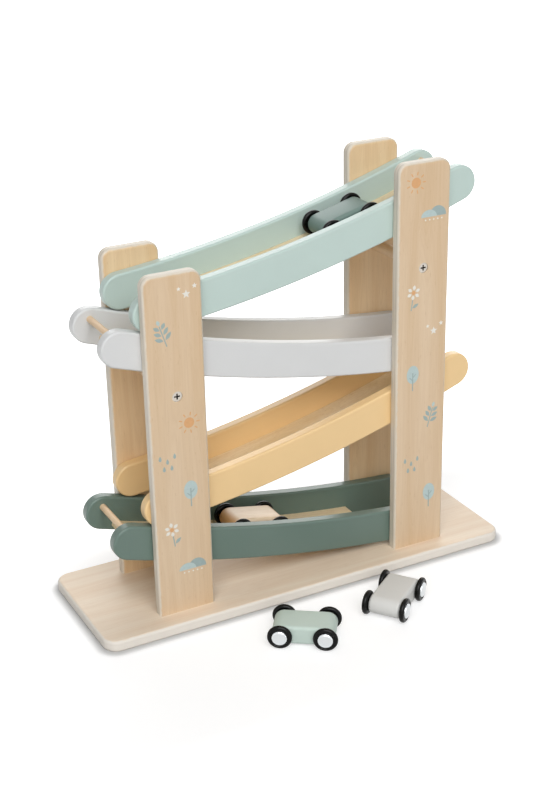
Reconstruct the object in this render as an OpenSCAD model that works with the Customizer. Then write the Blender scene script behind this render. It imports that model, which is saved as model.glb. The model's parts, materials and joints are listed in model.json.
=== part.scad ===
// Click clack track: four curved ramps zigzag down between two pairs of posts, and small wooden cars roll
// down each ramp, drop through its open low end and run on along the next one the other way.
// The origin is the centre of the base's underside; +X runs along the base, +Y to the back, +Z up.

/* [Base] */
// Length of the base board
base_l = 305; // [260:1:360]
// Width of the base board, front to back
base_w = 100; // [90:1:140]
// Thickness of the base board
base_t = 8; // [6:0.5:14]
// Corner radius of the base board, seen from above
base_corner_r = 10; // [4:0.5:20]
// Rounding of the edges of the base and the posts
board_edge_r = 2; // [1:0.1:2.8]

/* [Posts] */
// Width of a post
post_w = 39.5; // [34:0.5:50]
// Thickness of a post
post_t = 8; // [7:0.5:12]
// Distance of each post's centre line from the middle of the base
post_x = 90; // [80:0.5:95]
// Corner radius at the top of a post
post_corner_r = 7; // [4:0.5:12]
// Height of the left posts above the top ramp's rail
left_post_rise = 13.5; // [4:0.5:40]
// Height of the right posts above the top ramp's rail
right_post_rise = 20; // [4:0.5:40]

/* [Ramps] */
// Clear width between the two rails of a ramp
channel_w = 40; // [38:0.5:48]
// Thickness of a rail
rail_t = 8; // [7:0.5:12]
// Height of a rail
rail_h = 24; // [21:0.5:30]
// Rounding of a rail's edges
rail_edge_r = 1.5; // [0.5:0.1:3]
// Radius of a rail's centre line
ramp_radius = 952; // [800:1:1400]
// Length of a rail along its centre line, with both round ends
ramp_l = 254; // [244:0.5:262]
// Distance from a ramp's middle to the middle of the base, towards its high end
ramp_shift = 12.3; // [6:0.1:16]
// Slope of the top ramp at its middle, in degrees
top_tilt = 12.4; // [11:0.1:14]
// Slope of the second ramp at its middle, in degrees
second_tilt = 11.6; // [11:0.1:14]
// Slope of the third ramp at its middle, in degrees
third_tilt = 12.5; // [11:0.1:14]
// Slope of the bottom ramp at its middle, in degrees
bottom_tilt = 10.6; // [10:0.1:13]
// Gap between a ramp's low end and what lies under it
ramp_gap = 0.6; // [0.3:0.1:4]

/* [Decks] */
// Thickness of a deck
deck_t = 3.5; // [2.5:0.1:4.5]
// Height of a deck's underside above the rail's lower edge
deck_rise = 3.5; // [2:0.1:4.5]
// Depth of the groove that a deck sits in
groove_d = 2.5; // [1:0.1:3]
// Distance from the centre of a rail's round high end to the deck
deck_start = 8; // [4:0.5:14]
// Length without a deck at a ramp's low end
drop_l = 50.5; // [48:0.5:60]

/* [Stops and braces] */
// Diameter of the stop dowel across a ramp's high end
stop_d = 4.4; // [3:0.1:5]
// Height of the stop dowel above the rail's centre line
stop_rise = 4.6; // [4:0.1:7]
// Distance of the stop dowel from the centre of a rail's round end, outwards
stop_out = 1.5; // [0:0.1:3]
// Depth of the stop dowel's seat in each rail
stop_seat = 4; // [2:0.1:6]
// Diameter of the round braces between the posts
brace_d = 8; // [7:0.1:10]
// Distance from the second ramp's rail down to the left brace
left_brace_drop = 12.5; // [8:0.5:30]
// Distance from the top ramp's rail down to the right brace
right_brace_drop = 27.5; // [8:0.5:45]

/* [Fasteners] */
// Shank diameter of the screws
screw_d = 3.5; // [2.5:0.1:4]
// Head diameter of the screws
screw_head_d = 7; // [6:0.1:8]
// Depth of the screws' heads under the surface
screw_sink = 0.6; // [0.2:0.1:1]
// Length of the brace screws, head included
brace_screw_l = 25; // [16:0.5:30]
// Length of the base screws, head included
base_screw_l = 30; // [20:0.5:40]
// Distance between the two base screws of a post
base_screw_pitch = 20; // [12:0.5:26]
// Width of the slots in a cross-head
cross_slot_w = 1; // [0.5:0.1:1.2]
// Length of the slots in a cross-head
cross_slot_l = 4; // [2.5:0.1:4.5]
// Depth of the slots in a cross-head
cross_slot_d = 1.2; // [0.6:0.1:1.5]
// Diameter of the pins between rails and posts
pin_d = 4; // [3:0.1:5]
// Length of the pins between rails and posts
pin_l = 9; // [6:0.5:12]

/* [Cars] */
// Distance between a car's axles
wheelbase = 29.5; // [26:0.5:32]
// Gap between a hub cap and a rail, for a car in the middle of the channel
lane_gap = 3.9; // [2.5:0.1:6]
// Length of a car's body
car_l = 41.5; // [38:0.5:44]
// Height of a car's body, which is round at both ends
car_h = 13.2; // [10:0.1:14.5]
// Diameter of a wheel
wheel_d = 16.3; // [15.2:0.1:18]
// Width of a wheel
wheel_w = 3.4; // [3.3:0.1:5]
// Rounding of a wheel's edges
wheel_edge_r = 1.5; // [0.5:0.1:1.6]
// Gap between a wheel and the body
wheel_gap = 0.3; // [0.2:0.1:1]
// Diameter of an axle
axle_d = 3; // [2:0.1:4]
// Diameter of a hub cap
cap_d = 10.2; // [7:0.1:11]
// Depth of a hub cap's seat in the wheel
cap_seat = 0.8; // [0.4:0.1:1.5]
// Height of a hub cap's dome
cap_dome = 1.3; // [0.6:0.1:2]

/* [Car places] */
// Distance of the green car from the centre of the top rails' high ends, along the deck
green_car_run = 77; // [40:0.1:150]
// Distance of the green car from the middle of the channel
green_car_side = -0.4; // [-2:0.1:2]
// Distance of the wooden car from the centre of the bottom rails' high ends, along the deck
wood_car_run = 102.8; // [40:0.1:150]
// Distance of the wooden car from the middle of the channel
wood_car_side = -2; // [-2:0.1:2]
// Place of the mint car along the base
mint_car_x = -33.7; // [-60:0.1:-30]
// Distance of the mint car in front of the base
mint_car_ahead = 43.6; // [36:0.1:90]
// Heading of the mint car, in degrees from +X
mint_car_turn = -35.4; // [-60:0.1:0]
// Place of the white car along the base
white_car_x = 37.2; // [32:0.1:60]
// Distance of the white car in front of the base
white_car_ahead = 39; // [36:0.1:90]
// Heading of the white car, in degrees from +X
white_car_turn = 36.6; // [0:0.1:60]

/* [Fits] */
// Clearance round pins, dowels and screws, and of a deck in its groove
seat_gap = 0.05; // [0.02:0.01:0.1]
// Running clearance round an axle in the body
axle_play = 0.08; // [0.03:0.01:0.1]
// Gap between a wheel and the deck under it
wheel_lift = 0.3; // [0.2:0.05:0.5]

/* [Hidden] */
$fn = 64;
// Segments of a full turn for the long ramp arcs
arc_fn = 720;
// Overshoot of a cut past the face that it opens
past = 1;
// Depth of a blind hole past the end of what sits in it
hole_end = 0.25;
// Step from a rail's faces to its round ends
end_step = 0.03;

RAMPS = ["top", "second", "third", "bottom"];
TILTS = [top_tilt, second_tilt, third_tilt, bottom_tilt];
LAST = len(RAMPS) - 1;
CARS = ["green_car", "wood_car", "mint_car", "white_car"];
AXLES = ["front", "rear"];

WOOD = "#d8bf9f";
PALE_WOOD = "#e2d2bd";
DECK_WOOD = "#c8b086";
STEEL = "#c9cbcc";
CHROME = "#dcdedf";
WHEEL_BLACK = "#141513";
RAMP_COLOURS = ["#bccdc7", "#d3d4d5", "#dfc093", "#6a7a70"];
CAR_COLOURS = ["#75857c", "#e0cdb6", "#bccbc0", "#cdccc8"];

// Inner faces of the posts, which the rails lie against
post_face_y = channel_w / 2 + rail_t;
post_mid_y = post_face_y + post_t / 2;

// Angles about a ramp's arc centre are measured from straight down, growing towards the low end
half_angle = (ramp_l - rail_h) / 2 / ramp_radius * 180 / PI;
deck_r = ramp_radius + rail_h / 2 - deck_rise - deck_t;

function low_angle(i) = half_angle - TILTS[i];
function high_angle(i) = -half_angle - TILTS[i];
function stop_angle(i) = high_angle(i) - stop_out / ramp_radius * 180 / PI;
function deck_start_angle(i) = high_angle(i) + deck_start / ramp_radius * 180 / PI;
function deck_end_angle(i) = low_angle(i) - (drop_l - rail_h / 2) / ramp_radius * 180 / PI;

// Ramps are drawn falling towards +X; the top and the third are then turned round
function turned(i) = i % 2 == 0 ? 180 : 0;
function centre_x(i) = ramp_radius * sin(TILTS[i]) - ramp_shift;
function low_x(i) = centre_x(i) + ramp_radius * sin(low_angle(i));

// Each ramp's low end stands one gap above the rails below it, and the bottom one's above the base
function centre_z(i) = ramp_radius * cos(low_angle(i)) + (i == LAST
    ? base_t + ramp_gap + rail_h / 2
    : centre_z(i + 1) - sqrt(pow(ramp_radius - rail_h - ramp_gap, 2) - pow(low_x(i) + centre_x(i + 1), 2)));

// Height of a ramp's rail centre line, x measured towards its low end
function line_z(i, x) = centre_z(i) - sqrt(pow(ramp_radius, 2) - pow(x - centre_x(i), 2));

left_post_top = line_z(0, post_x) + rail_h / 2 + left_post_rise;
right_post_top = line_z(0, -post_x) + rail_h / 2 + right_post_rise;
left_brace_z = line_z(1, -post_x) - rail_h / 2 - left_brace_drop;
right_brace_z = line_z(0, -post_x) - rail_h / 2 - right_brace_drop;

wheel_r = wheel_d / 2;
car_w = channel_w - 2 * (lane_gap + cap_dome + wheel_w + wheel_gap);
track_in = car_w / 2 + wheel_gap;

function colour_of(car) = CAR_COLOURS[search([car], CARS)[0]];

// Rectangle with round corners, centred
module rounded_rect(w, h, r) {
    square([w - 2 * r, h], center = true);
    square([w, h - 2 * r], center = true);
    for (x = [-1, 1], y = [-1, 1]) translate([x * (w / 2 - r), y * (h / 2 - r)]) circle(r);
}

// Right half of a rounded rectangle, with its cut edge on the Y axis
module half_rounded_rect(reach, h, r) {
    intersection() {
        rounded_rect(2 * reach, h, r);
        translate([0, -h / 2]) square([reach, h]);
    }
}

// Disc with a round rim, its axis along Z
module soft_disc(radius, h, r) {
    rotate_extrude() half_rounded_rect(radius, h, r);
}

// Rod along Y, from one end to the other
module rod_y(d, from, to) {
    translate([0, from, 0]) rotate([-90, 0, 0]) cylinder(d = d, h = to - from);
}

// Sweeps an outline, drawn at its radius from the arc centre, along a ramp's arc
module along_arc(from, to) {
    rotate([90, 0, 0]) rotate([0, 0, from - 90]) rotate_extrude(angle = to - from, $fn = arc_fn) children();
}

// Moves to a ramp's arc centre, with the ramp falling towards +X
module at_arc_centre(i) {
    rotate([0, 0, turned(i)]) translate([centre_x(i), 0, centre_z(i)]) children();
}

// Moves from the arc centre to a point of the rail's centre line, with Z towards the arc centre
module on_line(angle, up = 0) {
    rotate([0, -angle, 0]) translate([0, 0, up - ramp_radius]) children();
}

// Moves from the arc centre to where the rail's centre line crosses the posts' middle
module at_post_crossings(i) {
    for (x = [-post_x, post_x]) translate([x - centre_x(i), 0, line_z(i, x) - centre_z(i)]) children();
}

// Base: a flat board with round corners and soft edges, drilled from below for the post screws
module base_board() {
    long = base_l - 2 * base_corner_r;
    wide = base_w - 2 * base_corner_r;
    color(PALE_WOOD) difference() {
        translate([0, 0, base_t / 2]) {
            rotate([90, 0, 90]) linear_extrude(long, center = true) rounded_rect(base_w, base_t, board_edge_r);
            rotate([90, 0, 0]) linear_extrude(wide, center = true) rounded_rect(base_l, base_t, board_edge_r);
            for (x = [-long, long], y = [-wide, wide])
                translate([x / 2, y / 2, 0]) soft_disc(base_corner_r, base_t, board_edge_r);
        }
        for (x = [-1, 1], y = [-1, 1]) translate([x * post_x, y * post_mid_y, 0]) base_screw_holes();
    }
}

// Countersunk holes for the two screws under one post
module base_screw_holes() {
    for (x = [-1, 1]) translate([x * base_screw_pitch / 2, 0, 0]) screw_hole(base_screw_l);
}

// Countersunk hole that goes up from z = 0, with room for the head under the surface
module screw_hole(screw_l) {
    head_r = screw_head_d / 2 + seat_gap;
    translate([0, 0, -past]) cylinder(r = head_r, h = past + screw_sink);
    translate([0, 0, screw_sink]) cylinder(r1 = head_r, r2 = 0, h = head_r);
    cylinder(d = screw_d + 2 * seat_gap, h = screw_sink + screw_l + hole_end);
}

// Moves to a brace screw's place on the outside of a post, with Z pointing into the post
module at_brace_screw(side_x, side_y) {
    translate([side_x * post_x, side_y * (post_face_y + post_t), side_x < 0 ? left_brace_z : right_brace_z])
        rotate([90 * side_y, 0, 0]) children();
}

// Post: an upright board with round top corners, drilled for its pins and screws
module post(side_x, side_y) {
    top = side_x < 0 ? left_post_top : right_post_top;
    corner_z = top - post_corner_r;
    corner_x = post_w / 2 - post_corner_r;
    color(WOOD) difference() {
        translate([side_x * post_x, side_y * post_mid_y, 0]) {
            translate([0, 0, base_t]) linear_extrude(corner_z - base_t) rounded_rect(post_w, post_t, board_edge_r);
            translate([0, 0, corner_z]) {
                rotate([90, 0, 90]) linear_extrude(2 * corner_x, center = true)
                    rounded_rect(post_t, 2 * post_corner_r, board_edge_r);
                for (x = [-corner_x, corner_x])
                    translate([x, 0, 0]) rotate([90, 0, 0]) soft_disc(post_corner_r, post_t, board_edge_r);
            }
        }
        at_brace_screw(side_x, side_y) screw_hole(brace_screw_l);
        for (i = [0:LAST]) at_arc_centre(i) at_post_crossings(i) pin_holes();
        translate([side_x * post_x, side_y * post_mid_y, 0]) base_screw_holes();
    }
}

// Holes for the pins on both sides of a ramp
module pin_holes() {
    reach = pin_l / 2 + hole_end;
    for (y = [-post_face_y, post_face_y]) rod_y(pin_d + 2 * seat_gap, y - reach, y + reach);
}

// Rail: a bar bent along the ramp's arc, with round ends, a groove for the deck and a seat for the stop
module rail(i, side) {
    own_side = turned(i) == 0 ? side : -side;
    color(RAMP_COLOURS[i]) at_arc_centre(i) difference() {
        translate([0, own_side * (channel_w + rail_t) / 2, 0]) {
            along_arc(high_angle(i), low_angle(i))
                translate([ramp_radius, 0]) rounded_rect(rail_h, rail_t, rail_edge_r);
            for (angle = [low_angle(i), high_angle(i)]) on_line(angle) rail_end();
        }
        deck_strip(i, seat_gap);
        on_line(stop_angle(i), stop_rise) stop_rod(stop_d + 2 * seat_gap, hole_end);
        at_post_crossings(i) pin_holes();
    }
}

// Round end of a rail: a disc with the bar's own edges, set in by a hair
module rail_end() {
    rotate([90, 0, 0]) soft_disc(rail_h / 2 - end_step, rail_t - 2 * end_step, rail_edge_r);
}

// Deck of a ramp, or the groove for it, larger by a clearance all round
module deck_strip(i, gap) {
    reach = channel_w / 2 + groove_d + gap;
    gap_angle = gap / deck_r * 180 / PI;
    along_arc(deck_start_angle(i) - gap_angle, deck_end_angle(i) + gap_angle)
        translate([deck_r - gap, -reach]) square([deck_t + 2 * gap, 2 * reach]);
}

// Deck: a thin bent board held in the grooves of both rails
module deck(i) {
    color(DECK_WOOD) at_arc_centre(i) deck_strip(i, 0);
}

// Rod of a stop dowel, longer by an extra at both ends
module stop_rod(d, extra) {
    reach = channel_w / 2 + stop_seat + extra;
    rod_y(d, -reach, reach);
}

// Stop: a dowel across the ramp's high end
module stop(i) {
    color(WOOD) at_arc_centre(i) on_line(stop_angle(i), stop_rise) stop_rod(stop_d, 0);
}

// Brace: a round rod between a front and a back post, drilled at both ends for its screws
module brace(side_x) {
    color(WOOD) difference() {
        translate([side_x * post_x, 0, side_x < 0 ? left_brace_z : right_brace_z])
            rod_y(brace_d, -post_face_y, post_face_y);
        for (side_y = [-1, 1]) at_brace_screw(side_x, side_y) screw_hole(brace_screw_l);
    }
}

// Slots of a cross-head, cut down from z = 0
module cross_slots() {
    for (turn = [0, 90]) rotate([0, 0, turn])
        translate([-cross_slot_l / 2, -cross_slot_w / 2, -cross_slot_d])
            cube([cross_slot_l, cross_slot_w, cross_slot_d + past]);
}

// Countersunk screw pointing up, with its head's flat one sink above z = 0
module flat_screw(screw_l) {
    translate([0, 0, screw_sink]) difference() {
        union() {
            cylinder(d1 = screw_head_d, d2 = 0, h = screw_head_d / 2);
            cylinder(d = screw_d, h = screw_l);
        }
        mirror([0, 0, 1]) cross_slots();
    }
}

// Screws through the posts into the ends of the braces
module post_screws() {
    color(STEEL) for (x = [-1, 1], y = [-1, 1]) at_brace_screw(x, y) flat_screw(brace_screw_l);
}

// Screws from below that hold the posts on the base
module base_screws() {
    color(STEEL) for (x = [-1, 1], y = [-1, 1], s = [-1, 1])
        translate([x * post_x + s * base_screw_pitch / 2, y * post_mid_y, 0]) flat_screw(base_screw_l);
}

// Dowel pins that hold the rails to the posts
module rail_pins() {
    color(WOOD) for (i = [0:LAST]) at_arc_centre(i) at_post_crossings(i)
        for (y = [-post_face_y, post_face_y]) rod_y(pin_d, y - pin_l / 2, y + pin_l / 2);
}

// Moves to where a car stands: X along its length, Z up, at the height of its axles
module at_car(car) {
    if (car == "green_car") on_deck(0, green_car_run) translate([0, -green_car_side, 0]) children();
    if (car == "wood_car") on_deck(LAST, wood_car_run) translate([0, wood_car_side, 0]) children();
    if (car == "mint_car") on_floor(mint_car_x, mint_car_ahead, mint_car_turn) children();
    if (car == "white_car") on_floor(white_car_x, white_car_ahead, white_car_turn) children();
}

// A car on a ramp stands with both axles at the same distance from the arc centre
module on_deck(i, run) {
    axle_r = deck_r - wheel_lift - wheel_r;
    middle_r = sqrt(pow(axle_r, 2) - pow(wheelbase / 2, 2));
    at_arc_centre(i) rotate([0, -high_angle(i) - run / deck_r * 180 / PI, 0])
        translate([0, 0, -middle_r]) children();
}

// A car on the floor in front of the base
module on_floor(x, ahead, turn) {
    translate([x, -base_w / 2 - ahead, wheel_r]) rotate([0, 0, turn]) children();
}

// Car body: a block with round ends, bored for both axles
module car_body(car) {
    flat_l = car_l - car_h;
    color(colour_of(car)) at_car(car) difference() {
        rotate([90, 0, 0]) linear_extrude(car_w, center = true) {
            square([flat_l, car_h], center = true);
            for (x = [-flat_l, flat_l]) translate([x / 2, 0]) circle(car_h / 2);
        }
        for (x = [-wheelbase, wheelbase])
            translate([x / 2, 0, 0]) rod_y(axle_d + 2 * axle_play, -car_w / 2 - past, car_w / 2 + past);
    }
}

// Moves to the middle of a car's front or rear axle
module at_axle(car, axle) {
    at_car(car) translate([(axle == "front" ? 1 : -1) * wheelbase / 2, 0, 0]) children();
}

// Moves to the inner faces of both wheels of an axle, with Z pointing outwards
module at_wheels() {
    for (side = [-1, 1]) translate([0, side * track_in, 0]) rotate([-90 * side, 0, 0]) children();
}

// Axle: a steel rod from one hub cap's seat to the other
module car_axle(car, axle) {
    reach = track_in + wheel_w - cap_seat;
    color(STEEL) at_axle(car, axle) rod_y(axle_d, -reach, reach);
}

// Wheels: two soft-edged discs with a bore for the axle and a seat for the cap
module car_wheels(car, axle) {
    color(WHEEL_BLACK) at_axle(car, axle) at_wheels() difference() {
        translate([0, 0, wheel_w / 2]) soft_disc(wheel_r, wheel_w, wheel_edge_r);
        translate([0, 0, -past]) cylinder(d = axle_d + 2 * seat_gap, h = wheel_w + 2 * past);
        translate([0, 0, wheel_w - cap_seat]) cylinder(d = cap_d + 2 * seat_gap, h = cap_seat + past);
    }
}

// Hub caps: a low disc in the wheel's seat, with a dome on it
module car_caps(car, axle) {
    dome_r = (pow(cap_d / 2, 2) + pow(cap_dome, 2)) / (2 * cap_dome);
    color(CHROME) at_axle(car, axle) at_wheels() translate([0, 0, wheel_w - cap_seat]) {
        cylinder(d = cap_d, h = cap_seat);
        intersection() {
            translate([0, 0, cap_seat + cap_dome - dome_r]) sphere(dome_r);
            cylinder(d = cap_d, h = cap_seat + cap_dome);
        }
    }
}

base_board();
post(-1, -1);  // post_front_left
post(1, -1);  // post_front_right
post(-1, 1);  // post_back_left
post(1, 1);  // post_back_right
for (i = [0:LAST]) {
    rail(i, -1);
    rail(i, 1);
    deck(i);
    stop(i);
}
brace(-1);  // brace_left
brace(1);  // brace_right
post_screws();
base_screws();
rail_pins();
for (car = CARS) {
    car_body(car);
    for (axle = AXLES) {
        car_axle(car, axle);
        car_wheels(car, axle);
        car_caps(car, axle);
    }
}
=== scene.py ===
"""Looks of a wooden ramp racer: painted ramps between plywood posts, with small wooden cars.

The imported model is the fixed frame, in metres. Boards, rails, decks, dowels and screws keep their
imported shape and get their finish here. The cars and the prints on the posts are modelled here and
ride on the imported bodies.
"""

from __future__ import annotations

import itertools
import json
import logging
import math
from collections.abc import Callable, Iterable, Sequence
from dataclasses import dataclass, field
from enum import Enum

import bmesh
import bpy
from mathutils import Matrix, Vector

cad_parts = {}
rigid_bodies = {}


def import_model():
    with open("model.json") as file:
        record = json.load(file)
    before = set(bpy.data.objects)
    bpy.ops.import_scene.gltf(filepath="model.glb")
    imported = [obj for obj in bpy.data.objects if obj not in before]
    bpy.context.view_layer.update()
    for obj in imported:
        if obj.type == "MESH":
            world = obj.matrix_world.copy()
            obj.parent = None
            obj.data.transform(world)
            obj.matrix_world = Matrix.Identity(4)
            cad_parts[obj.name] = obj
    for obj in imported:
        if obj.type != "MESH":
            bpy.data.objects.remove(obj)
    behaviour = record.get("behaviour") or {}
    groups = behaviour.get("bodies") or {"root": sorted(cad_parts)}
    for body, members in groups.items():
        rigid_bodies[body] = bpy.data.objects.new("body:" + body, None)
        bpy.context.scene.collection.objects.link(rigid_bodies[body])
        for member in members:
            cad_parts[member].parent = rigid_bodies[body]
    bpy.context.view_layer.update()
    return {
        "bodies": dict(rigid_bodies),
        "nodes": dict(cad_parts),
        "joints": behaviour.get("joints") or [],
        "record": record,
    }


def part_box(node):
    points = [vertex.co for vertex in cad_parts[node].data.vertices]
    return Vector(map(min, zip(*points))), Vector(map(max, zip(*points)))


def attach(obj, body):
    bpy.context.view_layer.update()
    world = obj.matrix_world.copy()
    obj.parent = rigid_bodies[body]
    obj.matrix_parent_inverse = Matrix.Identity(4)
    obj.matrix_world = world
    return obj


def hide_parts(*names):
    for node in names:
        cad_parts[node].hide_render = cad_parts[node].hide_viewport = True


LOG = logging.getLogger("ramp_racer")

MM = 0.001
BUMP_M = 0.05 * MM
BASE_CORNER_MM = 10.0

# Sockets of a colour Mix node, which go by number because its names repeat for each data type.
MIX_SHARE = 0
MIX_FROM = 6
MIX_TO = 7
MIXED = 2

Colour = tuple[float, float, float, float]
Point = tuple[float, float]
Piece = bpy.types.Object
Material = bpy.types.Material
Tree = bpy.types.NodeTree
Node = bpy.types.Node
Socket = bpy.types.NodeSocket


def linear(hex_colour: str) -> Colour:
    """Turns an sRGB hex colour into linear light.

    Args:
        hex_colour: Six hex digits after a hash sign.

    Returns:
        Linear red, green and blue with an alpha of one.
    """
    shares = [int(hex_colour[i : i + 2], 16) / 255 for i in (1, 3, 5)]
    # The toe, its slope, the offset and the power are those of the sRGB standard.
    curved = [c / 12.92 if c <= 0.04045 else ((c + 0.055) / 1.055) ** 2.4 for c in shares]
    return (*curved, 1.0)


def add_node(tree: Tree, kind: str, inputs: dict[str | int, object], **settings: object) -> Node:
    """Adds a shader node with its settings, values and links.

    Args:
        tree: Node tree that takes the node.
        kind: Type name of the node.
        inputs: Input name or index to a value, or to the socket that feeds it.
        **settings: Attributes of the node.

    Returns:
        The new node.
    """
    node = tree.nodes.new(kind)
    for name, value in settings.items():
        setattr(node, name, value)
    for key, value in inputs.items():
        if isinstance(value, Socket):
            tree.links.new(value, node.inputs[key])
        else:
            node.inputs[key].default_value = value
    return node


def reach_past(tree: Tree, offset: Socket, half_m: Sequence[float]) -> Socket:
    """Measures how far a point lies outside a box about the origin.

    Args:
        tree: Node tree that takes the nodes.
        offset: The point.
        half_m: Half of the box's size.

    Returns:
        The distance, which is zero within the box.
    """
    steps = (("ABSOLUTE", {}), ("SUBTRACT", {1: half_m}), ("MAXIMUM", {1: (0, 0, 0)}))
    for operation, inputs in steps:
        node = add_node(tree, "ShaderNodeVectorMath", {0: offset, **inputs}, operation=operation)
        offset = node.outputs[0]
    return add_node(tree, "ShaderNodeVectorMath", {0: offset}, operation="LENGTH").outputs["Value"]


def seen_share(tree: Tree) -> Socket:
    """Tells what the camera sees, straight or in a reflection, from light that falls on the object.

    Args:
        tree: Node tree that takes the nodes.

    Returns:
        One for what is seen, and zero for the light.
    """
    path = add_node(tree, "ShaderNodeLightPath", {})
    seen = path.outputs["Is Camera Ray"]
    for ray in ("Is Glossy Ray", "Is Transmission Ray"):
        either = add_node(
            tree, "ShaderNodeMath", {0: seen, 1: path.outputs[ray]}, operation="MAXIMUM"
        )
        seen = either.outputs[0]
    return seen


@dataclass(frozen=True)
class Finish:
    """What a surface is made of, from which its material is built."""

    name: str

    def build(self, seat: Matrix | None = None) -> Material:
        """Builds the material.

        Args:
            seat: Place of the piece, where the pattern follows the piece's own frame.

        Returns:
            The material.
        """
        material = bpy.data.materials.new(self.name)
        material.use_nodes = True
        tree = material.node_tree
        tree.nodes.clear()
        place = add_node(tree, "ShaderNodeTexCoord", {}).outputs["Object"]
        if seat is not None:
            seated = add_node(
                tree,
                "ShaderNodeMapping",
                {"Vector": place, "Location": seat.to_translation(), "Rotation": seat.to_euler()},
                vector_type="TEXTURE",
            )
            place = seated.outputs[0]
        shader = self.shader(tree, place)
        add_node(tree, "ShaderNodeOutputMaterial", {"Surface": shader.outputs[0]})
        return material

    def shader(self, tree: Tree, place: Socket) -> Node:
        """Builds the surface, which each finish does in its own way."""
        raise NotImplementedError


def satin_surface(
    tree: Tree, colour: Socket, height: Socket, relief: float, roughness: float, specular: float
) -> Node:
    """Builds a surface with a soft sheen and a fine relief.

    Args:
        tree: Node tree that takes the nodes.
        colour: Colour of the surface.
        height: Pattern of the relief.
        relief: Strength of the relief.
        roughness: Roughness of the surface.
        specular: Strength of its highlights.

    Returns:
        The shader.
    """
    bump = add_node(
        tree, "ShaderNodeBump", {"Strength": relief, "Distance": BUMP_M, "Height": height}
    )
    return add_node(
        tree,
        "ShaderNodeBsdfPrincipled",
        {
            "Base Color": colour,
            "Roughness": roughness,
            "Specular IOR Level": specular,
            "Normal": bump.outputs[0],
        },
    )


class Grain(Enum):
    """Axis that a wooden piece's grain runs along."""

    ALONG_X = 0
    ALONG_Y = 1
    ALONG_Z = 2

    def scale(self, across_mm: float, stretch: float) -> list[float]:
        """Gives the scale of a pattern that is stretched along the grain.

        Args:
            across_mm: Size of one feature across the grain.
            stretch: Length of a feature over its width.

        Returns:
            Scale along X, Y and Z, per metre.
        """
        scales = [1 / (across_mm * MM)] * 3
        scales[self.value] /= stretch
        return scales


@dataclass(frozen=True)
class Mark:
    """Kind of mark in a wood's figure, drawn by a noise that is stretched along the grain.

    It starts to show at the first of the two noise values, and shows fully at the second.
    """

    stretch: float
    detail: float
    warp: float
    shows: tuple[float, float]


TONE_BAND = Mark(stretch=16, detail=2, warp=0.5, shows=(0.32, 0.68))
STREAK = Mark(stretch=40, detail=3, warp=0.2, shows=(0.45, 0.75))
PORE = Mark(stretch=8, detail=1, warp=0.0, shows=(0.66, 0.74))


@dataclass(frozen=True)
class Wood(Finish):
    """Sanded light wood.

    It shows soft tone bands, growth lines, fine streaks and short pores along the grain.
    """

    grain: Grain
    pale: str = "#e2caac"
    deep: str = "#d8bc98"
    pore: str = "#b8946a"
    band_mm: float = 10.0
    line_mm: float = 2.2
    # Real streaks and pores are a few tenths of a millimetre wide, and drawn wider here to show.
    streak_mm: float = 0.9
    pore_mm: float = 0.8
    line_depth: float = 0.14
    streak_depth: float = 0.14
    pore_depth: float = 0.3
    relief: float = 0.2
    roughness: float = 0.5
    specular: float = 0.5

    def shader(self, tree: Tree, place: Socket) -> Node:
        """Builds the sanded surface.

        Args:
            tree: Node tree that takes the nodes.
            place: Coordinates of the surface.

        Returns:
            The shader.
        """
        figure, streaks = self.figure(tree, place)
        colour = self.stain(tree, place, figure)
        return satin_surface(tree, colour, streaks, self.relief, self.roughness, self.specular)

    def figure(self, tree: Tree, place: Socket) -> tuple[Socket, Socket]:
        """Builds the wood's figure.

        Args:
            tree: Node tree that takes the nodes.
            place: Coordinates of the surface.

        Returns:
            The colour of the figure, and the streaks that also set the relief.
        """
        fields = []
        marks = ((TONE_BAND, self.band_mm), (STREAK, self.streak_mm), (PORE, self.pore_mm))
        for mark, across_mm in marks:
            scale = self.grain.scale(across_mm, mark.stretch)
            stretched = add_node(tree, "ShaderNodeMapping", {"Vector": place, "Scale": scale})
            noise = add_node(
                tree,
                "ShaderNodeTexNoise",
                {
                    "Vector": stretched.outputs[0],
                    "Scale": 1.0,
                    "Detail": mark.detail,
                    "Distortion": mark.warp,
                },
            )
            fields.append(noise.outputs[0])
        bands, streaks, pores = fields
        # A band spans about a third of the noise and a growth line is two steps wide, so a sixth
        # of their ratio sets the lines line_mm apart.
        step = self.line_mm / self.band_mm / 6
        lines = add_node(tree, "ShaderNodeMath", {0: bands, 1: step}, operation="PINGPONG")
        colour = linear(self.pale)
        for source, (low, high), depth, tint in (
            (bands, TONE_BAND.shows, 1.0, self.deep),
            (lines.outputs[0], (0.0, step), self.line_depth, self.pore),
            (streaks, STREAK.shows, self.streak_depth, self.pore),
            (pores, PORE.shows, self.pore_depth, self.pore),
        ):
            share = add_node(
                tree,
                "ShaderNodeMapRange",
                {"Value": source, "From Min": low, "From Max": high, "To Max": depth},
            )
            mixed = add_node(
                tree,
                "ShaderNodeMix",
                {MIX_SHARE: share.outputs[0], MIX_FROM: colour, MIX_TO: linear(tint)},
                data_type="RGBA",
            )
            colour = mixed.outputs[MIXED]
        return colour, streaks

    def stain(self, tree: Tree, place: Socket, colour: Socket) -> Socket:
        """Gives the colour over the figure, which bare wood keeps as it is."""
        return colour


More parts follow.
